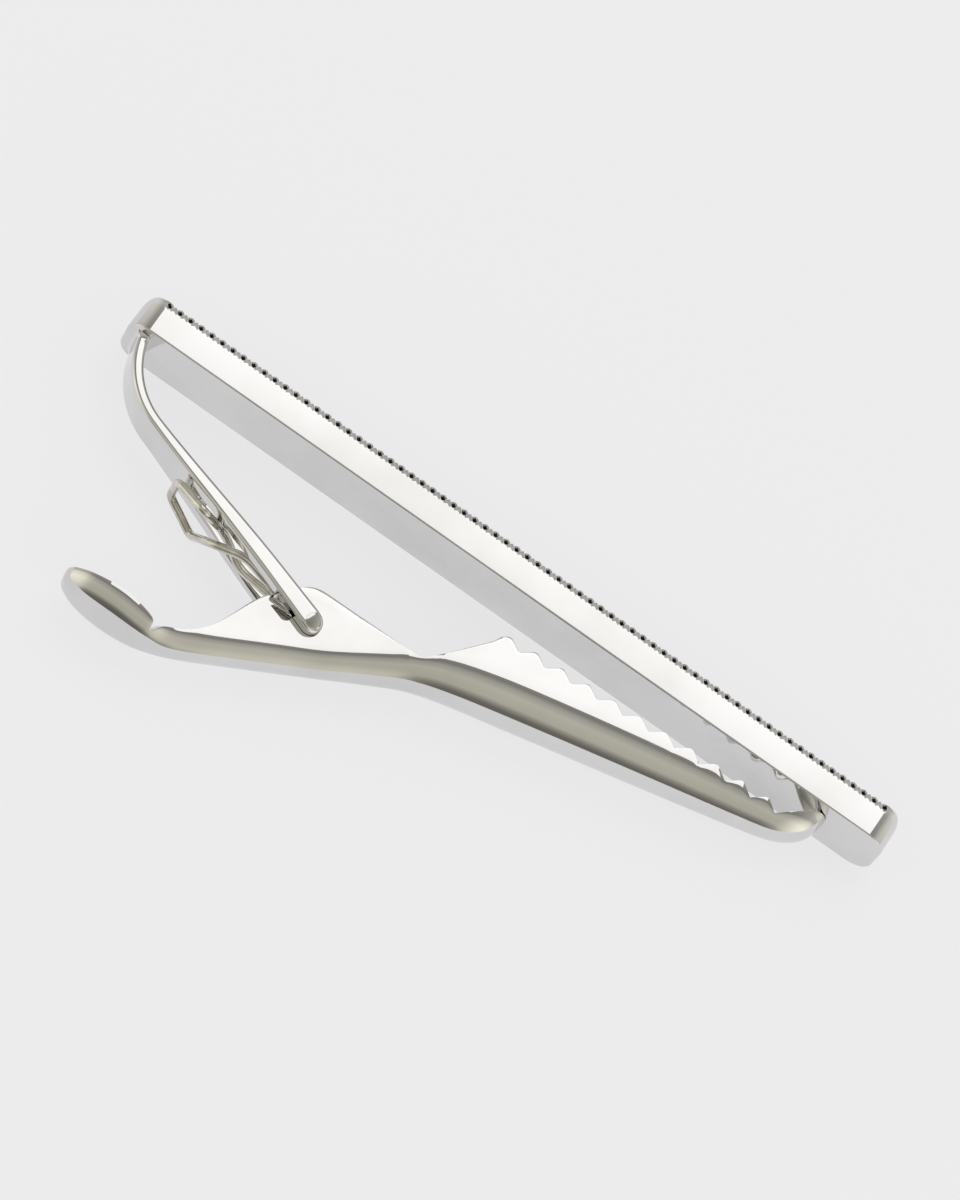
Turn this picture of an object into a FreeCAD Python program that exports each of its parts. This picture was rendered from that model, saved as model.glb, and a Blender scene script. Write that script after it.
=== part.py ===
import FreeCAD, Part
import math
import os

os.makedirs("parts", exist_ok=True)

# A spring tie clip of polished metal, lying on its side. X runs along the bar from the arm end to
# the free end, Y towards the front of the bar and Z up across its width. The origin is the centre
# of the bar's lower side. Lengths are in millimetres and angles in degrees.

# Bar: a solid strip with rounded corners and a diamond knurl on its front, plain at both ends
bar_length = 59.0
bar_width = 5.0
bar_thickness = 2.66
bar_corner_radius = 1.5
bar_end_chamfer = 0.4
knurl_depth = 0.36
knurl_seat = 0.2
knurl_along = 68
knurl_across = 4

# Pivot: its distance from the arm end of the bar and its drop below the back of the bar
pivot_from_end = 20.7
pivot_drop = 10.0
pin_diameter = 1.0
pin_clearance = 0.03

# Arm: a strip that leans out of the back of the bar, bends over and forks into two splayed legs
arm_thickness = 0.78
arm_width = 3.2
arm_edge_chamfer = 0.2
arm_root_from_end = 1.66
arm_root_lean = 17.0
arm_slope = 18.3
arm_bend_radius = 5.6
splay_reach = 16.5
fork_width = 4.7
fork_blend_radius = 6.0
ear_width = 0.82
ear_length = 4.0
ear_radius = 0.73
slot_length = 11.4
slot_root_width = 2.0

# Jaw: a pressed channel with teeth in front of the pivot and a thumb scoop behind it
sheet_thickness = 0.5
lug_clearance = 0.06
nose_from_end = 54.9
front_width = 4.5
nose_radius = 1.6
closed_gap = 0.06
thumb_from_end = 6.1
thumb_drop = 17.5
thumb_width = 4.8
thumb_tip_radius = 0.9
rim_radius = 0.25
waist_radius = 2.0
lug_corner_radius = 0.9
tooth_count = 11
steps_between_marks = 4
inner_corner_flats = 2
tooth_tip_radius = 0.3
tooth_flank_angle = 36.0
window_length = 1.95
window_width = 0.9
window_from_pivot = 2.0

# Wire spring: a diamond bow on the arm, two legs that cross, a bend round the pin and two tails
wire_diameter = 0.52
wire_bend_radius = 0.6
wire_sweep_radius = 2.0
wire_seat_clearance = 0.04
wire_crossing_gap = 0.7
wire_pin_clearance = 0.08
bow_end_reach = 12.5
bow_end_width = 2.4
bow_end_lift = 0.6
bow_corner_reach = 9.8
bow_corner_width = 4.2
bow_corner_lift = 0.85
crossing_reach = 8.3
crossing_height = 0.72
leg_spread_reach = 6.0
leg_spread_height = 0.42
leg_spread_width = 2.0
leg_reach = 3.2
leg_height = 0.05
leg_width = 1.0
tail_reach_along_jaw = 5.2

# Every cut runs past its solid by this much
overrun = 1.0

# Sizes that follow from the ones above
slot_width = fork_width - 2 * ear_width
jaw_width = slot_width - 2 * lug_clearance
front_reach = nose_from_end - pivot_from_end
tail_reach = pivot_from_end - thumb_from_end
tail_drop = thumb_drop - pivot_drop
pin_radius = pin_diameter / 2
wire_radius = wire_diameter / 2

# The floor of the jaw from nose to pivot: shares of the front reach, of the pivot's drop and of the
# way from the lugs' width to the front's width, and how round the corners of the channel are
front_floor_shares = [
    (1.018, 0.240, -0.90, 0.90),
    (1.0, 0.258, -0.30, 0.97),
    (0.93, 0.326, 0.40, 0.82),
    (0.70, 0.505, 0.85, 0.90),
    (0.404, 0.743, 1.0, 0.90),
    (0.278, 0.848, 0.85, 0.90),
    (0.213, 0.922, 0.60, 0.90),
    (0.155, 1.030, 0.35, 0.90),
    (0.053, 1.235, 0.0, 0.92),
]
# The floor from pivot to thumb tip: shares of the tail's reach, of the tail's drop and of the way
# from the lugs' width to the thumb's width, and how round the corners are
tail_floor_shares = [
    (0.151, 0.62, 0.0, 0.92),
    (0.37, 0.86, 0.0, 0.92),
    (0.47, 0.945, 0.08, 0.80),
    (0.58, 0.985, 0.62, 0.45),
    (0.733, 1.0, 1.0, 0.36),
    (0.884, 0.985, 0.78, 0.42),
    (1.0, 0.92, -0.25, 0.60),
    (1.035, 0.88, -0.70, 0.80),
]
# The top edge from thumb tip to lug: shares of the tail's reach and of the tail's drop
thumb_tip_low_share = (1.0, 1.02)
thumb_under_share = (0.84, 1.10)
thumb_tip_high_share = (1.0, 0.84)
thumb_rim_shares = [(0.726, 0.775), (0.568, 0.815)]
step_share = (0.548, 0.90)
waist_shares = [(0.51, 0.787), (0.42, 0.70), (0.336, 0.50)]
lug_back_share = (0.262, 0.09)
lug_top_share = (0.085, -0.33)
# The top edge from lug to nose: shares of the front reach and of the pivot's drop
valley_share = (0.205, 0.778)
first_tooth_share = (0.318, 0.290)
last_tooth_share = (0.884, 0.155)
nose_rim_share = 0.985
nose_low_share = 0.277
nose_under_share = (0.80, 0.46)
# The least inner width of a narrow end, and how much thicker the sloping floor is cut upright
narrow_end_share = 0.4
floor_thickness_share = 1.12
# A bend of the wire takes up at most this much of the shorter run beside it
bend_share = 0.45


def place(from_end, drop, across=0):
    """A point by its distance from the arm end, its drop below the bar and its place across."""
    return FreeCAD.Vector(from_end - bar_length / 2, -bar_thickness / 2 - drop, bar_width / 2 + across)


def front(reach_share, drop_share):
    """A point of the jaw between pivot and nose, in the middle plane."""
    return place(pivot_from_end + reach_share * front_reach, drop_share * pivot_drop)


def tail(reach_share, drop_share):
    """A point of the jaw between pivot and thumb tip, in the middle plane."""
    return place(pivot_from_end - reach_share * tail_reach, pivot_drop + drop_share * tail_drop)


def turned(angle):
    """A unit vector in the side plane, counted from X towards Y."""
    return FreeCAD.Vector(math.cos(math.radians(angle)), math.sin(math.radians(angle)), 0)


def across(distance):
    """A step across the width."""
    return FreeCAD.Vector(0, 0, distance)


def bend(before, corner, after, radius, limited):
    """The arc that rounds a corner: its first, middle and last points."""
    back = (before - corner).normalize()
    ahead = (after - corner).normalize()
    half_angle = back.getAngle(ahead) / 2
    trim = radius / math.tan(half_angle)
    if limited:
        shorter = min((before - corner).Length, (after - corner).Length)
        trim = min(trim, bend_share * shorter)
    middle_way = (back + ahead).normalize()
    to_middle = trim / math.cos(half_angle) - trim * math.tan(half_angle)
    return corner + back * trim, corner + middle_way * to_middle, corner + ahead * trim


def rounded_wire(corners, closed):
    """Straight runs joined by tangent arcs, through corners given as point, radius and limit."""
    count = len(corners)
    arcs = []
    for index, (point, radius, limited) in enumerate(corners):
        is_end = not closed and index in (0, count - 1)
        if is_end or radius == 0:
            arcs.append((point, None, point))
            continue
        before = corners[index - 1][0]
        after = corners[(index + 1) % count][0]
        arcs.append(bend(before, point, after, radius, limited))
    edges = []
    for index, (start, middle, end) in enumerate(arcs):
        if middle is not None:
            edges.append(Part.Arc(start, middle, end).toShape())
        last = not closed and index == count - 1
        following = arcs[(index + 1) % count][0]
        if not last and not end.isEqual(following, Part.Precision.confusion()):
            edges.append(Part.LineSegment(end, following).toShape())
    return Part.Wire(edges)


def slab(wire, width):
    """A side outline in the middle plane, thickened equally to both sides."""
    face = Part.Face(wire)
    face.translate(across(-width / 2))
    return face.extrude(across(width))


def bar():
    """The bar, with rounded corners in plan, chamfered front ends and the knurl let into its front."""
    body = Part.makeBox(bar_length, bar_thickness, bar_width, place(0, 0, -bar_width / 2))
    corners = [edge for edge in body.Edges if abs(edge.tangentAt(edge.FirstParameter).y) == 1]
    body = body.makeFillet(bar_corner_radius, corners)
    front_face = max(body.Faces, key=lambda face: face.CenterOfMass.y)
    straight = bar_length - 2 * bar_corner_radius
    end_edges = [edge for edge in front_face.Edges if edge.Length < straight / 2]
    body = body.makeChamfer(bar_end_chamfer, end_edges)
    depth = knurl_depth + knurl_seat
    low = place(bar_corner_radius, depth - bar_thickness, -bar_width / 2)
    return body.cut(Part.makeBox(straight, depth, bar_width, low)).fuse(knurl()).removeSplitter()


def knurl():
    """The knurled stretch of the front: rows of small pyramids between two ways of slanting grooves."""
    low = place(bar_corner_radius, knurl_depth - bar_thickness, -bar_width / 2)
    half_pitch = (bar_length - 2 * bar_corner_radius) / knurl_along / 2
    half_row = bar_width / knurl_across / 2
    columns = range(2 * knurl_along + 1)
    rows = range(2 * knurl_across + 1)

    def point(column, row):
        height = knurl_depth * ((column + row) % 2)
        return low + FreeCAD.Vector(column * half_pitch, height, row * half_row)

    def seat(column, row):
        return low + FreeCAD.Vector(column * half_pitch, -knurl_seat, row * half_row)

    loops = []
    for column in columns[:-1]:
        for row in rows[:-1]:
            near = [point(column, row), point(column + 1, row)]
            cell = near + [point(column + 1, row + 1), point(column, row + 1)]
            first = (column + row) % 2
            around = cell[first:] + cell[:first]
            loops += [[around[0], around[1], around[2]], [around[2], around[3], around[0]]]
    corners = [(0, 0), (columns[-1], 0), (columns[-1], rows[-1]), (0, rows[-1])]
    loops.append([seat(*corner) for corner in corners])
    for row in (0, rows[-1]):
        loops.append([seat(0, row)] + [point(column, row) for column in columns] + [seat(columns[-1], row)])
    for column in (0, columns[-1]):
        loops.append([seat(column, 0)] + [point(column, row) for row in rows] + [seat(column, rows[-1])])
    faces = [Part.Face(Part.makePolygon(loop + loop[:1])) for loop in loops]
    shell = Part.makeShell(faces)
    shell.sewShape()
    return Part.makeSolid(shell)


def pivot():
    """The middle of the pivot."""
    return place(pivot_from_end, pivot_drop)


def on_arm(reach, height, across_width=0):
    """A point by its distance back from the pivot along the arm and its height on the outer side."""
    along = turned(180 - arm_slope)
    outward = turned(270 - arm_slope)
    return pivot() + along * reach + outward * height + across(across_width)


def arm_outline():
    """The side outline of the arm: from its root over the bend to the round end of the ears."""
    root_way = turned(arm_root_lean - 90)
    along = turned(180 - arm_slope)
    outward = turned(270 - arm_slope)
    inner_root = place(arm_root_from_end, 0)
    outer_root = inner_root - FreeCAD.Vector(arm_thickness / math.cos(math.radians(arm_root_lean)), 0, 0)
    inner_touch = on_arm(0, -ear_radius)
    inner_knee = crossing(inner_root, root_way, inner_touch, along)
    inner = bend(inner_root, inner_knee, inner_touch, arm_bend_radius, False)
    taper_start = inner[2] + outward * arm_thickness
    way = taper_start - pivot()
    touch = math.acos(ear_radius / way.Length)
    to_taper = math.atan2(way.dot(outward), way.dot(along))
    outer_touch = on_arm(ear_radius * math.cos(to_taper + touch), ear_radius * math.sin(to_taper + touch))
    outer_knee = crossing(outer_root, root_way, taper_start, outer_touch - taper_start)
    outer = bend(outer_root, outer_knee, outer_touch, arm_bend_radius + arm_thickness, False)
    return Part.Wire(
        [
            Part.LineSegment(outer_root, outer[0]).toShape(),
            Part.Arc(*outer).toShape(),
            Part.LineSegment(outer[2], outer_touch).toShape(),
            Part.Arc(outer_touch, on_arm(-ear_radius, 0), inner_touch).toShape(),
            Part.LineSegment(inner_touch, inner[2]).toShape(),
            Part.Arc(*inner[::-1]).toShape(),
            Part.LineSegment(inner[0], inner_root).toShape(),
            Part.LineSegment(inner_root, outer_root).toShape(),
        ]
    )


def crossing(first, first_way, second, second_way):
    """The point of the side plane where two straight lines cross."""
    gap = second - first
    sine = first_way.x * second_way.y - first_way.y * second_way.x
    return first + first_way * ((gap.x * second_way.y - gap.y * second_way.x) / sine)


def fork_plan(narrow_from, narrow_width, wide_width, round_end):
    """A block right through the arm whose sides splay from one reach to the ears, seen from the back."""
    depth = thumb_drop + 2 * overrun
    narrow = narrow_width / 2
    wide = wide_width / 2
    far = narrow if round_end else bar_length
    ends = -ear_radius - overrun
    side = [(narrow_from + far, narrow), (narrow_from, narrow), (ear_length, wide), (ends, wide)]
    radii = [narrow if round_end else 0, fork_blend_radius, fork_blend_radius, 0]
    corners = [(on_arm(reach, -depth / 2, z), radius, True) for (reach, z), radius in zip(side, radii)]
    other = [(on_arm(reach, -depth / 2, -z), radius, True) for (reach, z), radius in zip(side, radii)]
    face = Part.Face(rounded_wire(corners + other[::-1], True))
    return face.extrude(turned(270 - arm_slope) * depth)


def pivot_hole(length):
    """The hole for the pin, right across."""
    return Part.makeCylinder(
        pin_radius + pin_clearance, length, pivot() - across(length / 2), FreeCAD.Vector(0, 0, 1)
    )


def arm():
    """The arm with chamfered edges, the slot between its legs and the holes in its ears."""
    body = slab(arm_outline(), fork_width).common(fork_plan(splay_reach, arm_width, fork_width, False))
    root_height = place(0, 0).y
    middle = place(0, 0).z
    long_edges = []
    for edge in body.Edges:
        centre = edge.CenterOfMass
        at_side = abs(centre.z - middle) > arm_width / 4
        across_sheet = edge.Length < 2 * arm_thickness and edge.Curve.TypeId == "Part::GeomLine"
        if at_side and not across_sheet and abs(centre.y - root_height) > arm_edge_chamfer:
            long_edges.append(edge)
    body = body.makeChamfer(arm_edge_chamfer, long_edges)
    slot = fork_plan(slot_length - slot_root_width / 2, slot_root_width, slot_width, True)
    return body.cut(slot).cut(pivot_hole(fork_width + 2 * overrun))


def pivot_pin():
    """The pin, flush with the outsides of the ears."""
    end = pivot() - across(fork_width / 2)
    return Part.makeCylinder(pin_radius, fork_width, end, FreeCAD.Vector(0, 0, 1))


def channel_section(floor, half_width, corner_radius, top):
    """The closed U of the jaw at one place: two walls, two round corners and a floor."""
    corner_sine = math.sqrt(2) / 2
    wall_low = floor + FreeCAD.Vector(0, corner_radius, 0)
    round_middle = floor + FreeCAD.Vector(0, corner_radius * (1 - corner_sine), 0)
    flat = half_width - corner_radius
    bulge = flat + corner_radius * corner_sine
    high = FreeCAD.Vector(floor.x, top, floor.z)
    near = [high + across(half_width), wall_low + across(half_width), round_middle + across(bulge)]
    far = [high - across(half_width), wall_low - across(half_width), round_middle - across(bulge)]
    near_floor = floor + across(flat)
    far_floor = floor - across(flat)
    return Part.Wire(
        [
            Part.LineSegment(near[0], near[1]).toShape(),
            Part.Arc(near[1], near[2], near_floor).toShape(),
            Part.LineSegment(near_floor, far_floor).toShape(),
            Part.Arc(far_floor, far[2], far[1]).toShape(),
            Part.LineSegment(far[1], far[0]).toShape(),
            Part.LineSegment(far[0], near[0]).toShape(),
        ]
    )


def hollow_section(floor, half_width, corner_radius, top):
    """The closed section of the hollow at one place, with a few flats for each round corner."""
    part = math.radians(45 / (inner_corner_flats + 1))
    reach = corner_radius / math.cos(part)
    side = [FreeCAD.Vector(floor.x, top, floor.z + half_width)]
    for index in range(inner_corner_flats + 1):
        angle = part * (2 * index + 1)
        rise = FreeCAD.Vector(0, corner_radius - reach * math.sin(angle), 0)
        side.append(floor + rise + across(half_width - corner_radius + reach * math.cos(angle)))
    other = [point - across(2 * (point.z - floor.z)) for point in side[::-1]]
    return Part.makePolygon(side + other + side[:1])


def floor_marks():
    """The set places along the jaw's floor, from nose to thumb tip: point, half width, corner radius."""
    marks = []
    for reach_share, drop_share, wide_share, round_share in front_floor_shares:
        half = (jaw_width + wide_share * (front_width - jaw_width)) / 2
        marks.append((front(reach_share, drop_share), half, half * round_share))
    for reach_share, drop_share, wide_share, round_share in tail_floor_shares:
        half = (jaw_width + wide_share * (thumb_width - jaw_width)) / 2
        marks.append((tail(reach_share, drop_share), half, half * round_share))
    return marks


def channel(marks, section, top):
    """A filled channel whose floor and width run smoothly through the marks."""
    distances = [0]
    for (last, _, _), (following, _, _) in zip(marks, marks[1:]):
        distances.append(distances[-1] + (following - last).Length)
    floor_line = Part.BSplineCurve()
    floor_line.interpolate(Points=[point for point, _, _ in marks], Parameters=distances)
    widths = Part.BSplineCurve()
    width_points = [
        FreeCAD.Vector(half, corner, distance) for (_, half, corner), distance in zip(marks, distances)
    ]
    widths.interpolate(Points=width_points, Parameters=distances)
    sections = []
    for start, end in zip(distances, distances[1:]):
        for step in range(steps_between_marks):
            sections.append(start + (end - start) * step / steps_between_marks)
    sections.append(distances[-1])
    wires = []
    for distance in sections:
        half, corner, _ = widths.value(distance)
        wires.append(section(floor_line.value(distance), half, corner, top))
    return Part.makeLoft(wires, True, True)


def jaw_block():
    """The outside of the channel, filled and too tall."""
    return channel(floor_marks(), channel_section, place(0, -overrun).y)


def jaw_hollow():
    """The inside of the channel, one sheet thickness in from the block, and taller than it."""
    rise = FreeCAD.Vector(0, sheet_thickness * floor_thickness_share, 0)
    lowest = place(thumb_from_end + sheet_thickness, 0).x
    highest = place(nose_from_end - sheet_thickness, 0).x
    marks = []
    for floor, half, corner in floor_marks()[1:-1]:
        inner_half = max(half - sheet_thickness, half * narrow_end_share)
        inner_corner = max(corner - sheet_thickness, inner_half * narrow_end_share)
        inner_floor = floor + rise
        inner_floor.x = min(max(inner_floor.x, lowest), highest)
        marks.append((inner_floor, inner_half, inner_corner))
    return channel(marks, hollow_section, place(0, -2 * overrun).y)


def tooth_corners():
    """The zigzag of the teeth, each with a round tip and a sharp valley behind it."""
    first = front(*first_tooth_share)
    last = front(*last_tooth_share)
    step = (last - first) / (tooth_count - 1)
    depth = FreeCAD.Vector(0, step.x / 2 * math.tan(math.radians(tooth_flank_angle)), 0)
    corners = []
    for index in range(tooth_count):
        peak = first + step * index
        corners.append((peak, tooth_tip_radius, False))
        corners.append((peak + step / 2 - depth, 0, False))
    return corners


def jaw_outline():
    """The side outline that trims the channel: scoop, waist, lugs, teeth and nose."""
    below = place(0, thumb_drop + overrun).y
    rim_height = place(0, closed_gap).y
    nose_end = front(1, 0).x
    under_thumb = tail(*thumb_under_share)
    under_nose = front(*nose_under_share)
    corners = [
        (FreeCAD.Vector(under_thumb.x, below, under_thumb.z), 0, False),
        (under_thumb, 0, False),
        (tail(*thumb_tip_low_share), thumb_tip_radius, True),
        (tail(*thumb_tip_high_share), rim_radius, True),
    ]
    corners += [(tail(*share), waist_radius, True) for share in thumb_rim_shares[:1]]
    corners += [(tail(*share), 0, False) for share in thumb_rim_shares[1:]]
    corners.append((tail(*step_share), 0, False))
    corners += [(tail(*share), waist_radius, True) for share in waist_shares]
    corners.append((tail(*lug_back_share), waist_radius, True))
    corners.append((tail(*lug_top_share), lug_corner_radius, True))
    corners.append((front(*valley_share), lug_corner_radius, True))
    corners += tooth_corners()
    corners += [
        (FreeCAD.Vector(front(nose_rim_share, 0).x, rim_height, under_nose.z), 0, False),
        (FreeCAD.Vector(nose_end, rim_height, under_nose.z), 0, False),
        (front(1, nose_low_share), nose_radius, True),
        (under_nose, 0, False),
        (FreeCAD.Vector(under_nose.x, below, under_nose.z), 0, False),
    ]
    return rounded_wire(corners, True)


def lug_window(length):
    """The oblong window in each lug beside the pivot, right across."""
    radius = window_width / 2
    straight = window_length - window_width
    middle = on_arm(window_from_pivot, window_width)
    way = turned(-arm_slope)
    side = turned(90 - arm_slope)
    start = middle - way * (straight / 2)
    end = middle + way * (straight / 2)
    wire = Part.Wire(
        [
            Part.LineSegment(start + side * radius, end + side * radius).toShape(),
            Part.Arc(end + side * radius, end + way * radius, end - side * radius).toShape(),
            Part.LineSegment(end - side * radius, start - side * radius).toShape(),
            Part.Arc(start - side * radius, start - way * radius, start + side * radius).toShape(),
        ]
    )
    return slab(wire, length)


def jaw():
    """The pressed jaw: a hollow channel trimmed to its side outline, with holes and windows."""
    trim = slab(jaw_outline(), thumb_width + 2 * overrun)
    body = jaw_block().common(trim).cut(jaw_hollow())
    cut_length = jaw_width + 2 * overrun
    return body.cut(pivot_hole(cut_length)).cut(lug_window(cut_length))


def touch_angle(point, radius, side):
    """The angle round the pivot where a straight run from a point meets a circle."""
    way = point - pivot()
    base = math.degrees(math.atan2(way.y, way.x))
    return base + side * math.degrees(math.acos(radius / math.hypot(way.x, way.y)))


def spring_side(side, crossing_offset):
    """The corners of one half of the wire, from its tail to the end of the bow."""
    leg_across = side * leg_width / 2
    wrap_radius = pin_radius + wire_pin_clearance + wire_radius
    seat = arm_thickness - ear_radius + wire_radius + wire_seat_clearance
    bow_corner_height = seat + bow_corner_lift
    tail_floor = tail_on_floor()
    leg = on_arm(leg_reach, leg_height)
    start_angle = touch_angle(leg, wrap_radius, -1) % 360
    end_angle = touch_angle(tail_floor, wrap_radius, 1) % 360 - 360
    quarter = (start_angle - end_angle) / 4
    corner_distance = wrap_radius / math.cos(math.radians(quarter))
    early = pivot() + turned(start_angle - quarter) * corner_distance
    late = pivot() + turned(end_angle + quarter) * corner_distance
    return [
        (tail_floor + across(leg_across), 0, False),
        (late + across(leg_across), wrap_radius, False),
        (early + across(leg_across), wrap_radius, False),
        (leg + across(leg_across), wire_sweep_radius, True),
        (on_arm(leg_spread_reach, leg_spread_height, side * leg_spread_width / 2), wire_sweep_radius, True),
        (on_arm(crossing_reach, crossing_height + crossing_offset), wire_sweep_radius, True),
        (on_arm(bow_corner_reach, bow_corner_height, -side * bow_corner_width / 2), wire_bend_radius, True),
        (on_arm(bow_end_reach, seat + bow_end_lift, -side * bow_end_width / 2), wire_bend_radius, True),
    ]


def tail_on_floor():
    """The middle of the wire's end where it rests on the floor of the jaw."""
    high = tail(*tail_floor_shares[0][:2])
    low = tail(*tail_floor_shares[1][:2])
    floor_way = (low - high).normalize()
    inner_half = jaw_width / 2 - sheet_thickness
    inner_round = tail_floor_shares[0][3] * jaw_width / 2 - sheet_thickness
    room = inner_round - wire_radius - wire_seat_clearance
    aside = leg_width / 2 - (inner_half - inner_round)
    seat = inner_round - math.sqrt(room**2 - aside**2)
    inward = FreeCAD.Vector(floor_way.y, -floor_way.x, 0) * (sheet_thickness * floor_thickness_share + seat)
    start = high + floor_way * ((pivot() - high).dot(floor_way))
    return start + floor_way * tail_reach_along_jaw + inward


def least_gap(wire):
    """The least clear distance between stretches of the wire that are not neighbours."""
    steps = round(wire.Length / (wire_diameter / 2))
    points = wire.discretize(steps)
    spacing = wire.Length / (steps - 1)
    apart = math.ceil(4 * wire_diameter / spacing)
    pairs = ((a, b) for a in range(steps) for b in range(a + apart, steps))
    return min((points[a] - points[b]).Length for a, b in pairs) - wire_diameter


def wire_spring():
    """The wire as one unbroken tube."""
    half_crossing = (wire_diameter + wire_crossing_gap) / 2
    near_side = spring_side(1, half_crossing)
    far_side = spring_side(-1, -half_crossing)
    corners = near_side + far_side[::-1]
    route = rounded_wire(corners, False)
    start = corners[0][0]
    section = Part.Wire(Part.Circle(start, corners[1][0] - start, wire_radius).toShape())
    tube = route.makePipeShell([section], True, False)
    expected = math.pi * wire_radius**2 * route.Length
    print("wire length", round(route.Length, 2), "volume against section", round(tube.Volume / expected, 6))
    print("least gap of the wire to itself", round(least_gap(route), 3))
    return tube


pieces = {
    "bar": bar(),
    "arm": arm(),
    "pivot_pin": pivot_pin(),
    "wire_spring": wire_spring(),
    "jaw": jaw(),
}
for name, shape in pieces.items():
    print(name, "valid", shape.isValid(), "solids", len(shape.Solids), "volume", round(shape.Volume, 2))
    shape.exportStep("parts/" + name + ".step")
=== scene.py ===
import math

import bmesh
import bpy
from mathutils import Matrix, Vector
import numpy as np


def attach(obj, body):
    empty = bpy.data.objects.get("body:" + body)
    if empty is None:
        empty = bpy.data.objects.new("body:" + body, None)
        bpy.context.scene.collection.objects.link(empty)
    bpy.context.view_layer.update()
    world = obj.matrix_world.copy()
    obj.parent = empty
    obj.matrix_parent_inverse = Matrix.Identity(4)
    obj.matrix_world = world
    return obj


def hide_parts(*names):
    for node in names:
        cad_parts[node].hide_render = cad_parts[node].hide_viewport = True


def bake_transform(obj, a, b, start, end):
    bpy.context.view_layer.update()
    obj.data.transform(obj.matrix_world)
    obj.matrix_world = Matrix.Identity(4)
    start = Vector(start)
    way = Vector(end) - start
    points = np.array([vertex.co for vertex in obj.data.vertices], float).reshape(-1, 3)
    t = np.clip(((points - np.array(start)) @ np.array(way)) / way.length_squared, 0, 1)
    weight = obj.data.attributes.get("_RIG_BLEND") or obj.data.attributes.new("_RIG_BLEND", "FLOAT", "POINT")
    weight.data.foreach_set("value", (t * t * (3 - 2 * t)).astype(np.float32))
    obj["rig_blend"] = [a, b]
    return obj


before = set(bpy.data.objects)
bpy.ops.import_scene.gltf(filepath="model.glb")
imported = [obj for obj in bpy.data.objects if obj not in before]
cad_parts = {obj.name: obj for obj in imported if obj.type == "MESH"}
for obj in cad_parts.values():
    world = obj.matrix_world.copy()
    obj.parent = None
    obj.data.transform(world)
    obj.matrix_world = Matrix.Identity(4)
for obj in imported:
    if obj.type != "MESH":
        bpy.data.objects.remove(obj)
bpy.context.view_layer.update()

# Bar
# The bar is a solid brass strip. A diamond knurl is pressed into its front, and its sides and back
# are ground flat and polished. The arm is brazed to its back before the whole clip is plated.
mm = 0.001
bar_length = 59.0 * mm
bar_width = 5.0 * mm
bar_thickness = 2.66 * mm
bar_corner = 1.5 * mm
bar_end_round = 0.8 * mm
bar_back_edge = 0.1 * mm
# The front edges are rounded further down the sides than in across the front
bar_front_drop = 0.75 * mm
bar_front_reach = 0.3 * mm
knurl_across = 4
knurl_along = 68
knurl_steps = 8
knurl_columns = 60
knurl_span = 5.47 * mm
knurl_fade = (math.radians(58), math.radians(80))
knurl_depth = 0.25 * mm
knurl_crown = 2.4
corner_steps = 12
weld = 0.002 * mm


def eased(value, low, high):
    """0 up to the low end, 1 past the high end, and a smooth run between them."""
    share = min(max((value - low) / (high - low), 0), 1)
    return share * share * (3 - 2 * share)


def grid_form(rows, columns, place, groove=None):
    """A grid with each point where the piece's own rule puts it, and where its grooves cross marked for a
    painted shade.
    """
    form = bmesh.new()
    bmesh.ops.create_grid(form, x_segments=rows, y_segments=columns, size=0.5)
    # This layer holds how deep a point lies where both grooves cross; the metal turns it into painted shade
    painted_groove_shade = form.verts.layers.float.new("groove")
    for vert in form.verts:
        row = round((vert.co.x + 0.5) * rows)
        column = round((vert.co.y + 0.5) * columns)
        vert.co = place(row, column)
        vert[painted_groove_shade] = math.prod(groove(row, column)) if groove else 0
    return form


def linear(hex_colour):
    """An sRGB hex colour as linear red, green, blue and alpha."""
    shares = [int(hex_colour[index:index + 2], 16) / 255 for index in (1, 3, 5)]
    return [s / 12.92 if s <= 0.04045 else ((s + 0.055) / 1.055) ** 2.4 for s in shares] + [1.0]


def add_node(tree, kind, settings=None, inputs=None, links=None):
    """A node with its settings, its fixed inputs and its links from other nodes' outputs."""
    node = tree.nodes.new(kind)
    for name, value in (settings or {}).items():
        setattr(node, name, value)
    for name, value in (inputs or {}).items():
        node.inputs[name].default_value = value
    for name, (source, output) in (links or {}).items():
        tree.links.new(source.outputs[output], node.inputs[name])
    return node


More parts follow.
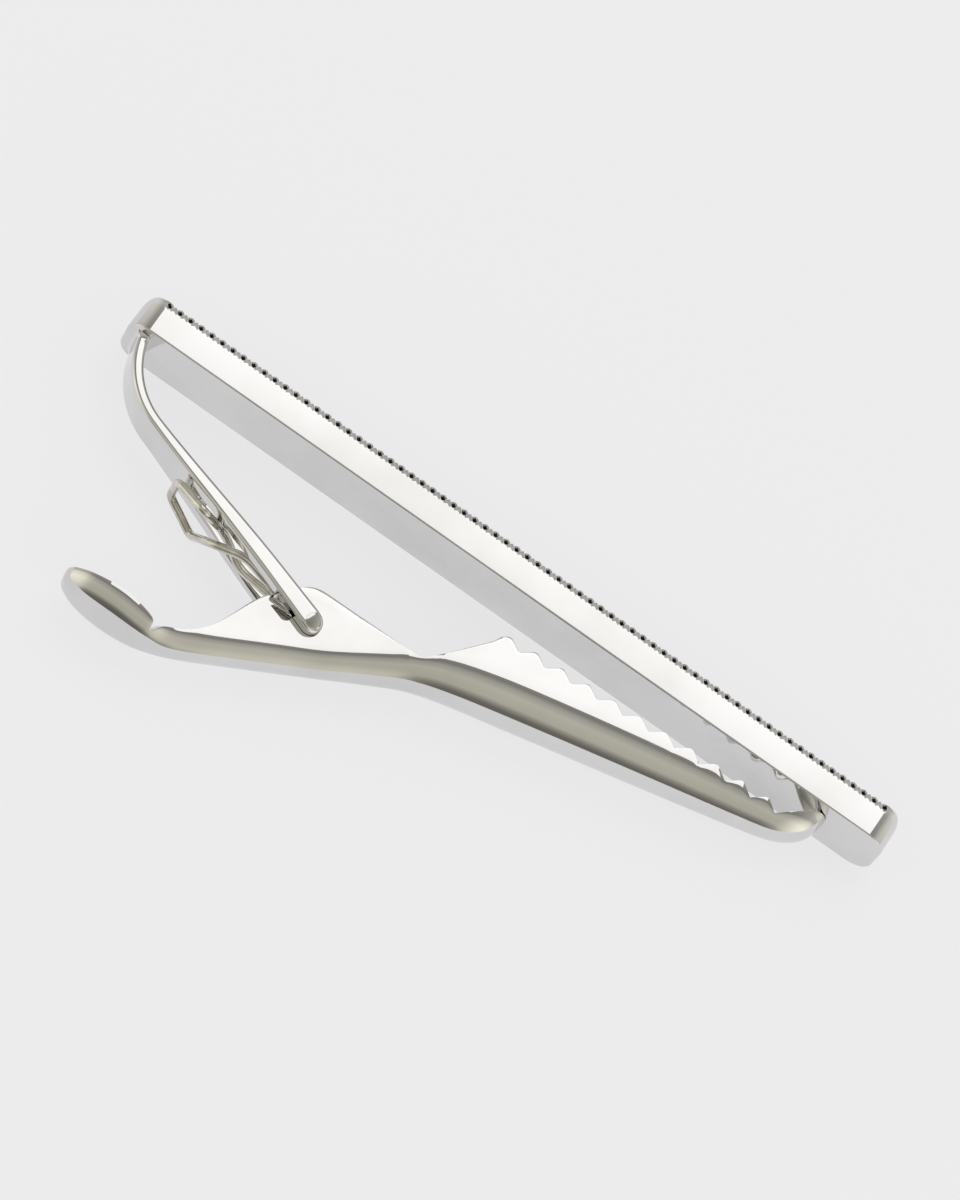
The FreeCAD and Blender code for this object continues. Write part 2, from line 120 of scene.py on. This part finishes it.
def plated_metal(name, bright, dull, smoothest, roughest, cloud_mm, rub_mm, rub_depth_mm):
    """Plated and polished metal: a bright tint that clouds a little, rub marks from the mop, and painted
    shade near black where grooves cross.
    """
    material = bpy.data.materials.new(name)
    material.use_nodes = True
    tree = material.node_tree
    shader = tree.nodes["Principled BSDF"]
    shader.inputs["Metallic"].default_value = 1.0
    where = add_node(tree, "ShaderNodeTexCoord")
    cloud = add_node(
        tree, "ShaderNodeTexNoise",
        inputs={"Scale": 1 / (cloud_mm * mm), "Detail": 4.0, "Roughness": 0.55},
        links={"Vector": (where, "Object")},
    )
    tint = add_node(tree, "ShaderNodeValToRGB", links={"Fac": (cloud, "Fac")})
    tint.color_ramp.elements[0].position = 0.36
    tint.color_ramp.elements[0].color = linear(dull)
    tint.color_ramp.elements[1].position = 0.60
    tint.color_ramp.elements[1].color = linear(bright)
    stretch = add_node(
        tree, "ShaderNodeMapping", inputs={"Scale": (0.12, 1.0, 1.0)}, links={"Vector": (where, "Object")}
    )
    rub = add_node(
        tree, "ShaderNodeTexNoise",
        inputs={"Scale": 1 / (rub_mm * mm), "Detail": 3.0, "Roughness": 0.6},
        links={"Vector": (stretch, "Vector")},
    )
    gloss = add_node(
        tree, "ShaderNodeMapRange",
        inputs={"From Min": 0.35, "From Max": 0.68, "To Min": smoothest, "To Max": roughest},
        links={"Value": (rub, "Fac")},
    )
    marks = add_node(
        tree, "ShaderNodeBump",
        inputs={"Strength": 0.5, "Distance": rub_depth_mm * mm},
        links={"Height": (rub, "Fac")},
    )
    # Painted shade: where the knurl's two grooves cross, the colour is mixed towards near black to stand in
    # for the shade in the pits
    groove = add_node(tree, "ShaderNodeAttribute", settings={"attribute_name": "groove"})
    painted_groove_shade = add_node(
        tree, "ShaderNodeMapRange",
        inputs={"From Min": 0.02, "From Max": 0.14},
        links={"Value": (groove, "Fac")},
    )
    shade = add_node(
        tree, "ShaderNodeMix", settings={"data_type": "RGBA"}, links={"Factor": (painted_groove_shade, "Result")}
    )
    tree.links.new(tint.outputs["Color"], shade.inputs[6])
    # The near black of the painted shade in the knurl's pits
    shade.inputs[7].default_value = linear("#1C1B1A")
    tree.links.new(shade.outputs[2], shader.inputs["Base Color"])
    tree.links.new(gloss.outputs["Result"], shader.inputs["Roughness"])
    tree.links.new(marks.outputs["Normal"], shader.inputs["Normal"])
    return material


def finished(form, name, material, sharp_degrees):
    """The form as an object with smooth faces, sharp edges past an angle and flats that stay flat."""
    bmesh.ops.remove_doubles(form, verts=form.verts, dist=weld)
    bmesh.ops.recalc_face_normals(form, faces=form.faces)
    mesh = bpy.data.meshes.new(name)
    form.to_mesh(mesh)
    form.free()
    mesh.materials.append(material)
    mesh.shade_smooth()
    mesh.set_sharp_from_angle(angle=math.radians(sharp_degrees))
    piece = bpy.data.objects.new(name, mesh)
    bpy.context.scene.collection.objects.link(piece)
    flats = piece.modifiers.new("flats stay flat", "WEIGHTED_NORMAL")
    flats.keep_sharp = True
    return piece


straight_rows = knurl_along * knurl_steps
straight_half = bar_length / 2 - bar_corner


def front_path(row, column):
    """A grid point of the front: its place along and over the bar, where the flat ends, and its turn."""
    if row < corner_steps:
        along = -straight_half - bar_corner * math.cos(math.pi / 2 * row / corner_steps)
    elif row > corner_steps + straight_rows:
        past = (row - corner_steps - straight_rows) / corner_steps
        along = straight_half + bar_corner * math.sin(math.pi / 2 * past)
    else:
        along = straight_half * (2 * (row - corner_steps) / straight_rows - 1)
    into_corner = max(abs(along) - straight_half, 0)
    half_width = bar_width / 2 - bar_corner + math.sqrt(max(bar_corner**2 - into_corner**2, 0))
    flat = half_width - bar_front_reach
    mean_radius = (bar_front_drop + bar_front_reach) / 2
    over = (flat + math.pi / 2 * mean_radius) * (2 * column / knurl_columns - 1)
    return along, over, flat, max(abs(over) - flat, 0) / mean_radius


def knurl_groove(row, column):
    """How deep a grid point is in the grooves of each slant: 0 on tips and plain parts, 1 at the bottom."""
    along, over, _, turn = front_path(row, column)
    if not corner_steps <= row <= corner_steps + straight_rows:
        return 0, 0
    pitches_along = (along / straight_half + 1) / 2 * knurl_along
    pitches_across = (over / knurl_span + 0.5) * knurl_across
    one_way = abs(2 * ((pitches_along + pitches_across) % 1) - 1)
    other_way = abs(2 * ((pitches_along - pitches_across) % 1) - 1)
    shallower = 1 - eased(turn, *knurl_fade)
    return one_way**knurl_crown * shallower, other_way**knurl_crown * shallower


def bar_front(row, column):
    """A point of the knurled front: rows run along the bar, columns over it from side to side."""
    along, over, flat, turn = front_path(row, column)
    across = math.copysign(min(abs(over), flat) + bar_front_reach * math.sin(turn), over)
    into_end = max(abs(along) - bar_length / 2 + bar_end_round, 0)
    end_drop = bar_end_round - math.sqrt(bar_end_round**2 - into_end**2)
    height = bar_thickness / 2 - end_drop - bar_front_drop * (1 - math.cos(turn))
    lean = math.copysign(math.sin(turn) / bar_front_reach, over)
    outward = Vector((0, math.cos(turn) / bar_front_drop, lean)).normalized()
    depth = knurl_depth * max(knurl_groove(row, column))
    return Vector((along, height, bar_width / 2 + across)) - outward * depth


silver_plate = plated_metal(
    # Bright silver plate on brass, mopped to a mirror: near white, with faint clouds and rub marks, and
    # painted shade where the knurl's grooves cross
    "polished silver plate", bright="#DEDDDD", dull="#D4D3D2", smoothest=0.02, roughest=0.07,
    cloud_mm=9.0, rub_mm=0.9, rub_depth_mm=0.0006,
)
form = grid_form(straight_rows + 2 * corner_steps, knurl_columns, bar_front, knurl_groove)
rim = [edge for edge in form.edges if edge.is_boundary]
walls = bmesh.ops.extrude_edge_only(form, edges=rim)["geom"]
for vert in walls:
    if isinstance(vert, bmesh.types.BMVert):
        vert.co.y = -bar_thickness / 2
        vert[form.verts.layers.float["groove"]] = 0
back_rim = [edge for edge in form.edges if edge.is_boundary]
bmesh.ops.contextual_create(form, geom=back_rim)
bmesh.ops.bevel(
    form, geom=back_rim, offset=bar_back_edge, offset_type="OFFSET", segments=3, profile=0.5,
    affect="EDGES", material=-1,
)
bar = finished(form, "knurled_bar", silver_plate, sharp_degrees=32)
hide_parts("bar")
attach(bar, "frame")

# Arm
# The arm is a stamped strip, splayed into a fork with two round ears. It is bent over near its
# root, brazed upright on the back of the bar and polished, which leaves its edges soft.
pivot = Vector((-8.8, -11.33, 2.5)) * mm
arm_slope = math.radians(18.3)
arm_straight = 16.348 * mm
arm_bend_radius = 5.6 * mm
arm_bend_turn = math.radians(54.7)
arm_root = 0.86 * mm
braze_flare = 0.25 * mm
braze_reach = 0.6 * mm
arm_sheet = 0.78 * mm
arm_half_width = 1.6 * mm
arm_edge = 0.26 * mm
ear_radius = 0.73 * mm
tip_start = 0.306 * mm
tip_fall = 0.36
fork_half_width = 2.35 * mm
fork_splay = (4.0 * mm, 16.5 * mm)
slot_end = 10.4 * mm
slot_end_radius = 1.0 * mm
slot_half_width = 1.53 * mm
ear_steps = 8
slot_steps = 34
slot_end_steps = 10
strap_steps = 8
bend_steps = 28
root_steps = 8
edge_steps = 5
face_steps = 5
sheet_sharp_degrees = 40
arm_back = Vector((-math.cos(arm_slope), math.sin(arm_slope), 0))
arm_out = Vector((-math.sin(arm_slope), -math.cos(arm_slope), 0))


def bent(reach, height, across):
    """A point of the straight blank, put where the bend takes it, counted from the pivot."""
    turn = min(max((reach - arm_straight) / arm_bend_radius, 0), arm_bend_turn)
    rest = reach - turn * arm_bend_radius
    radius = arm_bend_radius + ear_radius + height
    past_bend = max(rest - arm_straight, 0)
    along = min(rest, arm_straight) + radius * math.sin(turn) + past_bend * math.cos(turn)
    out = radius * math.cos(turn) - arm_bend_radius - ear_radius - past_bend * math.sin(turn)
    return pivot + arm_back * along + arm_out * out + Vector((0, 0, across))


bend_end = arm_straight + arm_bend_turn * arm_bend_radius
arm_rows = [-ear_radius * math.cos(math.pi / 2 * step / ear_steps) for step in range(ear_steps)]
arm_rows += [slot_end * step / slot_steps for step in range(slot_steps)]
for step in range(slot_end_steps + 1):
    arm_rows.append(slot_end + slot_end_radius * math.sin(math.pi / 2 * step / slot_end_steps))
for start, end, steps in (
    (slot_end + slot_end_radius, arm_straight, strap_steps),
    (arm_straight, bend_end, bend_steps),
    (bend_end, bend_end + arm_root, root_steps),
):
    arm_rows += [start + (end - start) * step / steps for step in range(1, steps + 1)]

# Round half the section: out along the low face, up the soft side, back along the top, down the slot
arm_section = [(step / face_steps, 0, -1) for step in range(face_steps)]
arm_section += [(1, step / edge_steps, -1) for step in range(edge_steps)]
arm_section += [(1, 1, 2 * step / face_steps - 1) for step in range(face_steps)]
arm_section += [(1, 1 - step / edge_steps, 1) for step in range(edge_steps)]
arm_section += [(1 - step / face_steps, 0, 1) for step in range(face_steps)]
arm_section += [(0, 0, 1 - 2 * step / face_steps) for step in range(face_steps + 1)]


def arm_blank(row, column):
    """A point of one half of the blank: rows run along it, columns round its section."""
    reach = arm_rows[row]
    outward, turned, level = arm_section[column]
    inside = slot_half_width + (slot_end_radius - slot_half_width) * eased(reach, fork_splay[0], slot_end)
    if reach > slot_end:
        inside = math.sqrt(max(slot_end_radius**2 - (reach - slot_end) ** 2, 0))
    flare = braze_flare * max((reach - arm_rows[-1]) / braze_reach + 1, 0) ** 2
    outside = fork_half_width + (arm_half_width - fork_half_width) * eased(reach, *fork_splay)
    outside += flare - tip_fall * max(tip_start - reach, 0)
    across = inside + (outside - arm_edge - inside) * outward + arm_edge * math.sin(math.pi / 2 * turned)
    inset = arm_edge * (1 - math.cos(math.pi / 2 * turned))
    if reach < 0:
        drawn_in = 1 - inset / ear_radius
        return bent(reach * drawn_in, level * drawn_in * math.sqrt(ear_radius**2 - reach**2), across)
    thickness = 2 * ear_radius + (arm_sheet - 2 * ear_radius) * min(reach / arm_straight, 1)
    height = thickness / 2 - ear_radius + level * (thickness / 2 + flare - inset)
    return bent(reach, height, across)


form = grid_form(len(arm_rows) - 1, len(arm_section) - 1, arm_blank)
bmesh.ops.remove_doubles(form, verts=form.verts, dist=weld)
middle = [face for face in form.faces if all(abs(vert.co.z - pivot.z) < weld for vert in face.verts)]
bmesh.ops.delete(form, geom=middle, context="FACES")
bmesh.ops.translate(form, verts=form.verts, vec=(0, 0, -pivot.z))
bmesh.ops.mirror(form, geom=form.verts[:] + form.edges[:] + form.faces[:], axis="Z", merge_dist=weld)
bmesh.ops.translate(form, verts=form.verts, vec=(0, 0, pivot.z))
arm = finished(form, "forked_arm", silver_plate, sheet_sharp_degrees)


def pierced(piece, cutters):
    """The piece with its modifiers applied and the cutters' holes in it; the cutters are used up."""
    for cutter in cutters:
        hole = piece.modifiers.new("hole", "BOOLEAN")
        hole.operation = "DIFFERENCE"
        hole.solver = "EXACT"
        hole.object = cutter
    cut = bpy.data.meshes.new_from_object(piece.evaluated_get(bpy.context.evaluated_depsgraph_get()))
    whole = piece.data
    piece.modifiers.clear()
    piece.data = cut
    cut.name = whole.name
    bpy.data.meshes.remove(whole)
    for cutter in cutters:
        bpy.data.meshes.remove(cutter.data)
    cut.set_sharp_from_angle(angle=math.radians(sheet_sharp_degrees))
    flats = piece.modifiers.new("flats stay flat", "WEIGHTED_NORMAL")
    flats.keep_sharp = True


punch_length = 8.0 * mm


def punch(radius, straight, lean, middle):
    """A round or oblong punch across the clip, as a loose object for cutting."""
    form = bmesh.new()
    bmesh.ops.create_cone(
        form, cap_ends=True, segments=48, radius1=radius, radius2=radius, depth=punch_length
    )
    for vert in form.verts:
        vert.co.x += math.copysign(straight / 2, vert.co.x)
    bmesh.ops.rotate(form, verts=form.verts, matrix=Matrix.Rotation(lean, 3, "Z"))
    bmesh.ops.translate(form, verts=form.verts, vec=middle)
    mesh = bpy.data.meshes.new("punch")
    form.to_mesh(mesh)
    form.free()
    cutter = bpy.data.objects.new("punch", mesh)
    bpy.context.scene.collection.objects.link(cutter)
    return cutter


pin_hole = 0.503 * mm
pierced(arm, [punch(pin_hole, 0, 0, pivot)])
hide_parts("arm")
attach(arm, "frame")

# Pivot pin
# The pin is a short drawn steel rod through both ears and both lugs. It is cut to length, pressed
# in flush and polished with the ears, so its two ends hardly show.
pin_radius = 0.5 * mm
pin_length = 2 * fork_half_width
pin_edge = 0.01 * mm
pin_steel = plated_metal(
    # Drawn steel under the same plate: a shade darker and less even than the mopped parts
    "plated drawn steel", bright="#DEDDDB", dull="#D2D0CD", smoothest=0.04, roughest=0.12,
    cloud_mm=1.5, rub_mm=0.3, rub_depth_mm=0.001,
)
form = bmesh.new()
bmesh.ops.create_cone(
    form, cap_ends=True, segments=40, radius1=pin_radius, radius2=pin_radius, depth=pin_length,
    matrix=Matrix.Translation(pivot),
)
ends = [edge for edge in form.edges if len({round(vert.co.z, 6) for vert in edge.verts}) == 1]
bmesh.ops.bevel(
    form, geom=ends, offset=pin_edge, offset_type="OFFSET", segments=3, profile=0.5,
    affect="EDGES", material=-1,
)
for vert in form.verts:
    if abs(vert.co.z - pivot.z) > pin_length / 4:
        past_start = max(tip_start - (vert.co - pivot).dot(arm_back), 0)
        vert.co.z -= math.copysign(tip_fall * past_start, vert.co.z - pivot.z)
pin = finished(form, "flush_pin", pin_steel, sharp_degrees=40)
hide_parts("pivot_pin")
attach(pin, "frame")

# Wire spring
# The spring is one length of hard drawn wire: a diamond bow that presses on the arm, two legs that
# cross, a bend round the pin and two tails on the floor of the jaw. It is bent cold, then plated.
wire_radius = 0.29 * mm
bend_run_share = 0.45
tail_root = Vector((0, -0.3, 0)) * mm
tail_free = Vector((0, -2.5, 0)) * mm
wire_near = [
    ((-12.371, -15.586, 3.0), 0.0),
    ((-7.818, -11.585, 3.0), 0.84),
    ((-8.199, -10.512, 3.0), 0.84),
    ((-11.854, -10.373, 3.0), 2.0),
    ((-14.628, -9.845, 3.5), 2.0),
    ((-17.098, -9.987, 2.5), 2.0),
    ((-18.481, -9.392, 0.4), 0.6),
    ((-20.966, -8.307, 1.3), 0.6),
]
wire_far = [
    ((-20.966, -8.307, 3.7), 0.6),
    ((-18.481, -9.392, 4.6), 0.6),
    ((-16.715, -8.828, 2.5), 2.0),
    ((-14.628, -9.845, 1.5), 2.0),
    ((-11.854, -10.373, 2.0), 2.0),
    ((-8.199, -10.512, 2.0), 0.84),
    ((-7.818, -11.585, 2.0), 0.84),
    ((-12.371, -15.586, 2.0), 0.0),
]
spring_wire = plated_metal(
    # Drawn spring wire with a thin bright plate: fine lines from the die, and a tint that greys a little in
    # patches
    "plated spring wire", bright="#DEDBD3", dull="#BFBBB1", smoothest=0.08, roughest=0.18,
    cloud_mm=1.2, rub_mm=0.25, rub_depth_mm=0.002,
)
route = [(Vector(point) * mm, radius * mm) for point, radius in wire_near + wire_far]
bends = []
for index, (corner, radius) in enumerate(route):
    if radius == 0:
        bends.append((corner, corner, corner))
        continue
    before = route[index - 1][0] - corner
    after = route[index + 1][0] - corner
    turn = math.pi - before.angle(after)
    reach = min(radius * math.tan(turn / 2), bend_run_share * min(before.length, after.length))
    handle = 4 / 3 * math.tan(turn / 4) * reach / math.tan(turn / 2)
    start = corner + before.normalized() * reach
    end = corner + after.normalized() * reach
    bends.append((start, start, start - before.normalized() * handle))
    bends.append((end, end - after.normalized() * handle, end))
line = bpy.data.curves.new("spring line", "CURVE")
line.dimensions = "3D"
line.bevel_depth = wire_radius
line.bevel_resolution = 6
line.resolution_u = 10
line.use_fill_caps = True
spline = line.splines.new("BEZIER")
spline.bezier_points.add(len(bends) - 1)
for point, (place, handle_left, handle_right) in zip(spline.bezier_points, bends):
    point.handle_left_type = point.handle_right_type = "FREE"
    point.co = place
    point.handle_left = handle_left
    point.handle_right = handle_right
tube = bpy.data.objects.new("spring line", line)
bpy.context.scene.collection.objects.link(tube)
drawn = bpy.data.meshes.new_from_object(tube)
bpy.data.objects.remove(tube)
bpy.data.curves.remove(line)
form = bmesh.new()
form.from_mesh(drawn)
bpy.data.meshes.remove(drawn)
spring = finished(form, "bow_spring", spring_wire, sharp_degrees=50)
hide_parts("wire_spring")
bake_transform(spring, "frame", "jaw", start=pivot + tail_root, end=pivot + tail_free)

# Jaw
# The jaw is one pressing of brass sheet, hung on the pin and plated: a channel with a round floor,
# two rows of teeth and a blunt nose, two lugs with windows, and a waist and thumb scoop behind.
# Its tables are in mm: the place from the bar's end, then a drop below the bar's back or a half width.
jaw_sheet = 0.5 * mm
rim_round = 0.06 * mm
window_length = 1.95 * mm
window_width = 0.9 * mm
window_middle = Vector((-10.981, -11.556, 2.5)) * mm
jaw_floor = [
    (6.1, 16.30), (6.22, 16.72), (6.6, 17.05), (7.8, 17.39), (10.0, 17.50), (12.23, 17.39), (13.84, 17.09),
    (15.3, 16.45), (18.5, 14.65), (22.51, 12.35), (26.0, 10.30), (27.99, 9.22), (30.21, 8.48),
    (34.52, 7.43), (44.64, 5.05), (51.2, 3.46), (52.8, 2.95), (53.9, 2.28), (54.6, 1.40), (54.9, 0.30),
]
jaw_half_width = [
    (6.1, 0.75), (6.22, 1.15), (6.6, 1.60), (7.8, 2.18), (10.0, 2.40), (12.23, 2.05), (13.84, 1.56),
    (15.3, 1.47), (20.0, 1.47), (22.5, 1.47), (26.0, 1.74), (28.0, 1.94), (30.2, 2.13), (34.5, 2.25),
    (44.6, 2.13), (52.5, 1.78), (53.9, 1.50), (54.6, 1.15), (54.9, 0.75),
]
jaw_round_shares = [
    (6.1, 0.8), (8.0, 0.66), (10.0, 0.60), (12.2, 0.66), (13.8, 0.86), (15.3, 0.94), (54.9, 0.94),
]
jaw_tall_share = 1.3
jaw_rim = [
    (6.1, 16.18), (6.5, 16.08), (8.0, 15.95), (10.0, 15.84), (11.4, 15.95), (12.3, 16.12), (12.52, 16.30),
    (12.64, 16.66), (12.78, 16.68), (13.0, 16.32), (13.35, 15.95), (14.0, 15.56), (14.6, 15.16),
    (15.25, 14.50), (15.8, 13.60), (16.3, 12.40), (16.85, 10.90), (17.5, 9.82), (18.4, 8.70), (19.1, 7.98),
    (19.8, 7.62), (20.8, 7.53), (24.0, 7.55), (27.0, 7.62), (27.6, 7.55), (28.1, 7.18), (29.0, 6.15),
    (30.6, 4.15), (31.2, 3.39),
]
tooth_first = (31.58, 2.90)
tooth_pitch = 1.936
tooth_count = 11
tooth_fall = -0.0697
tooth_flank = math.radians(36)
tooth_tip = 0.3
nose_rim = [(51.85, 2.20), (52.3, 1.75), (53.2, 0.95), (54.0, 0.28), (54.4, 0.07), (54.9, 0.07)]
jaw_end_stretch = 1.5
end_steps = 16
tooth_steps = 16
wall_steps = 6
round_steps = 9
floor_steps = 4
teeth_start = tooth_first[0] - tooth_pitch / 4
teeth_end = tooth_first[0] + (tooth_count - 0.5) * tooth_pitch


def through(places, at):
    """The value at one place on a smooth line through a list of places and values."""
    index = max(i for i in range(len(places) - 1) if places[i][0] <= at or i == 0)
    before, start, end, after = (
        places[min(max(i, 0), len(places) - 1)] for i in (index - 1, index, index + 1, index + 2)
    )
    width = end[0] - start[0]
    share = (at - start[0]) / width
    slope_start = (end[1] - before[1]) / (end[0] - before[0]) * width
    slope_end = (after[1] - start[1]) / (after[0] - start[0]) * width
    return (
        start[1] * (1 + 2 * share) * (1 - share) ** 2 + end[1] * share**2 * (3 - 2 * share)
        + slope_start * share * (1 - share) ** 2 + slope_end * share**2 * (share - 1)
    )


def rim_drop(from_end):
    """How far below the bar the top edge of the jaw lies at one place."""
    if from_end < teeth_start:
        return through(jaw_rim, from_end)
    number = min(round((from_end - tooth_first[0]) / tooth_pitch), tooth_count - 1)
    from_tip = abs(from_end - tooth_first[0] - number * tooth_pitch)
    if from_tip > tooth_pitch / 2:
        return through(nose_rim, from_end)
    line = tooth_first[1] + tooth_fall * (from_end - tooth_first[0])
    if from_tip < tooth_tip * math.sin(tooth_flank):
        return line + tooth_tip / math.cos(tooth_flank) - math.sqrt(tooth_tip**2 - from_tip**2)
    return line + from_tip * math.tan(tooth_flank)


jaw_start = jaw_floor[0][0]
jaw_end = jaw_floor[-1][0]
jaw_rows = []
for step in range(end_steps):
    jaw_rows.append(jaw_start + jaw_end_stretch * (1 - math.cos(math.pi / 2 * step / end_steps)))
start = jaw_start + jaw_end_stretch
teeth_steps = round((teeth_end - teeth_start) / tooth_pitch * tooth_steps)
for end, steps in (
    (12.2, 18), (13.4, 24), (20.2, 44), (27.0, 14), (28.4, 14), (teeth_start, 10),
    (teeth_end, teeth_steps), (jaw_end - jaw_end_stretch, 10),
):
    jaw_rows += [start + (end - start) * step / steps for step in range(steps)]
    start = end
for step in range(end_steps + 1):
    jaw_rows.append(start + jaw_end_stretch * math.sin(math.pi / 2 * step / end_steps))
jaw_columns = 2 * (wall_steps + round_steps + floor_steps)


def jaw_skin(row, column):
    """A point of the outside of the jaw: rows run along it, columns from rim to rim under it."""
    from_end = jaw_rows[row]
    floor = through(jaw_floor, from_end)
    half = through(jaw_half_width, from_end)
    rim = rim_drop(from_end)
    radius = half * through(jaw_round_shares, from_end)
    rise = radius * jaw_tall_share
    wall = max(floor - rise - rim, 0)
    trimmed = math.asin(min(max(rim - floor + rise, 0) / rise, 1))
    side = 1 if column <= jaw_columns / 2 else -1
    step = min(column, jaw_columns - column)
    if step < wall_steps:
        shift = wall * (1 - step / wall_steps)
        across = half - radius + radius * math.cos(trimmed)
        drop = floor - rise + rise * math.sin(trimmed) - shift
    elif step <= wall_steps + round_steps:
        turn = trimmed + (math.pi / 2 - trimmed) * (step - wall_steps) / round_steps
        across = half - radius + radius * math.cos(turn)
        drop = floor - rise + rise * math.sin(turn)
    else:
        across = (half - radius) * (1 - (step - wall_steps - round_steps) / floor_steps)
        drop = floor
    out = -bar_thickness / 2 - drop * mm
    return Vector((from_end * mm - bar_length / 2, out, pivot.z + side * across * mm))


form = grid_form(len(jaw_rows) - 1, jaw_columns, jaw_skin)
rim = [edge for edge in form.edges if edge.is_boundary]
ends = [edge for edge in rim if len({round(vert.co.x, 7) for vert in edge.verts}) == 1]
bmesh.ops.holes_fill(form, edges=ends, sides=0)
jaw = finished(form, "toothed_jaw", silver_plate, sheet_sharp_degrees)
jaw.modifiers.clear()
wall = jaw.modifiers.new("sheet", "SOLIDIFY")
wall.thickness = jaw_sheet
wall.offset = -1
wall.use_even_offset = True
rims = jaw.modifiers.new("mopped rims", "BEVEL")
rims.width = rim_round
rims.segments = 2
rims.limit_method = "ANGLE"
rims.angle_limit = math.radians(50)
rims.use_clamp_overlap = True
pierced(jaw, [
    punch(pin_hole, 0, 0, pivot),
    punch(window_width / 2, window_length - window_width, -arm_slope, window_middle),
])
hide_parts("jaw")
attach(jaw, "jaw")

# Floor and light
# The clip lies on a plain pale floor under a soft lamp, as on a product table. The upper faces mirror
# the lamp, and the round parts mirror the world, a grey room that is lighter past the bar's two ends.
floor_half = 1.5
floor_gap = 0.02 * mm
glow_share = 0.72
lamp_width = 0.36
lamp_watts = 0.39
lamp_place = Vector((0.0, 0.26, 0.54))
form = bmesh.new()
bmesh.ops.create_grid(form, x_segments=1, y_segments=1, size=floor_half)
bmesh.ops.translate(form, verts=form.verts, vec=(0, 0, -floor_gap))
floor_mesh = bpy.data.meshes.new("floor")
form.to_mesh(floor_mesh)
form.free()
floor = bpy.data.objects.new("floor", floor_mesh)
bpy.context.scene.collection.objects.link(floor)
paper = bpy.data.materials.new("pale matt paper")
paper.use_nodes = True
tree = paper.node_tree
paper_shader = tree.nodes["Principled BSDF"]
paper_shader.inputs["Base Color"].default_value = linear("#F0F0F8")
paper_shader.inputs["Roughness"].default_value = 0.9
paper_shader.inputs["Specular IOR Level"].default_value = 0.1
# Seen straight or in the metal, the paper is mostly its own paleness, and the rest keeps the shadow
rays = add_node(tree, "ShaderNodeLightPath")
seen = add_node(
    tree, "ShaderNodeMath", settings={"operation": "ADD"},
    links={0: (rays, "Is Camera Ray"), 1: (rays, "Is Glossy Ray")},
)
seen = add_node(
    tree, "ShaderNodeMath", settings={"operation": "ADD", "use_clamp": True},
    links={0: (seen, "Value"), 1: (rays, "Is Transmission Ray")},
)
share = add_node(
    tree, "ShaderNodeMath", settings={"operation": "MULTIPLY"},
    inputs={1: glow_share}, links={0: (seen, "Value")},
)
glow = add_node(tree, "ShaderNodeEmission", inputs={"Color": linear("#FBFBFD"), "Strength": 1.0})
lit_paper = add_node(
    tree, "ShaderNodeMixShader",
    links={0: (share, "Value"), 1: (paper_shader, "BSDF"), 2: (glow, "Emission")},
)
tree.links.new(lit_paper.outputs["Shader"], tree.nodes["Material Output"].inputs["Surface"])
floor_mesh.materials.append(paper)

world = bpy.data.worlds.new("studio")
world.use_nodes = True
bpy.context.scene.world = world
tree = world.node_tree
where = add_node(tree, "ShaderNodeTexCoord")
parts = add_node(tree, "ShaderNodeSeparateXYZ", links={"Vector": (where, "Generated")})
side_to_side = add_node(
    tree, "ShaderNodeMapRange", inputs={"From Min": -1.0, "From Max": 1.0}, links={"Value": (parts, "Y")}
)
sky = add_node(tree, "ShaderNodeValToRGB", links={"Fac": (side_to_side, "Result")})
ramp = sky.color_ramp
ramp.elements[0].position = 0.0
ramp.elements[0].color = linear("#64625C")
ramp.elements[1].position = 1.0
ramp.elements[1].color = linear("#9A9892")
for position, colour in (
    (0.04, "#6A6861"), (0.125, "#B0AEA1"), (0.32, "#B9B7AA"), (0.44, "#A3A198"), (0.52, "#7F7D78"),
    (0.72, "#9A9893"), (0.90, "#B8B6B2"),
):
    ramp.elements.new(position).color = linear(colour)
to_the_ends = add_node(
    tree, "ShaderNodeMath", settings={"operation": "ABSOLUTE"}, links={0: (parts, "X")}
)
lighter = add_node(
    tree, "ShaderNodeMapRange", settings={"interpolation_type": "SMOOTHSTEP"},
    inputs={"From Min": 0.42, "From Max": 0.95, "To Min": 1.2, "To Max": 2.5},
    links={"Value": (to_the_ends, "Value")},
)
tree.links.new(sky.outputs["Color"], tree.nodes["Background"].inputs["Color"])
tree.links.new(lighter.outputs["Result"], tree.nodes["Background"].inputs["Strength"])

lamp = bpy.data.lights.new("overhead softbox", "AREA")
lamp.shape = "SQUARE"
lamp.size = lamp_width
lamp.energy = lamp_watts
softbox = bpy.data.objects.new("overhead softbox", lamp)
softbox.location = lamp_place
softbox.rotation_euler = lamp_place.to_track_quat("Z", "Y").to_euler()
bpy.context.scene.collection.objects.link(softbox)

# Camera
# A long lens looks down at the back of the clip from the photograph's side, rolled so that the
# bar runs from upper left to lower right.
camera_distance = 450.0 * mm
view_height = 76.6 * mm
camera_back = Vector((0, -0.438, 0.899)).normalized()
camera_right = Vector((0.818, 0.516, 0.251))
camera_right = (camera_right - camera_back * camera_right.dot(camera_back)).normalized()
camera_up = camera_back.cross(camera_right)
looked_at = Vector((-0.9, -3.53, 5.0)) * mm
lens = bpy.data.cameras.new("camera")
lens.type = "PERSP"
lens.sensor_width = 36.0
lens.lens = lens.sensor_width * camera_distance / view_height
camera = bpy.data.objects.new("camera", lens)
turn = Matrix((camera_right, camera_up, camera_back)).transposed()
camera.matrix_world = Matrix.Translation(looked_at + camera_back * camera_distance) @ turn.to_4x4()
bpy.context.scene.collection.objects.link(camera)
bpy.context.scene.camera = camera
bpy.context.scene.view_settings.view_transform = "Standard"
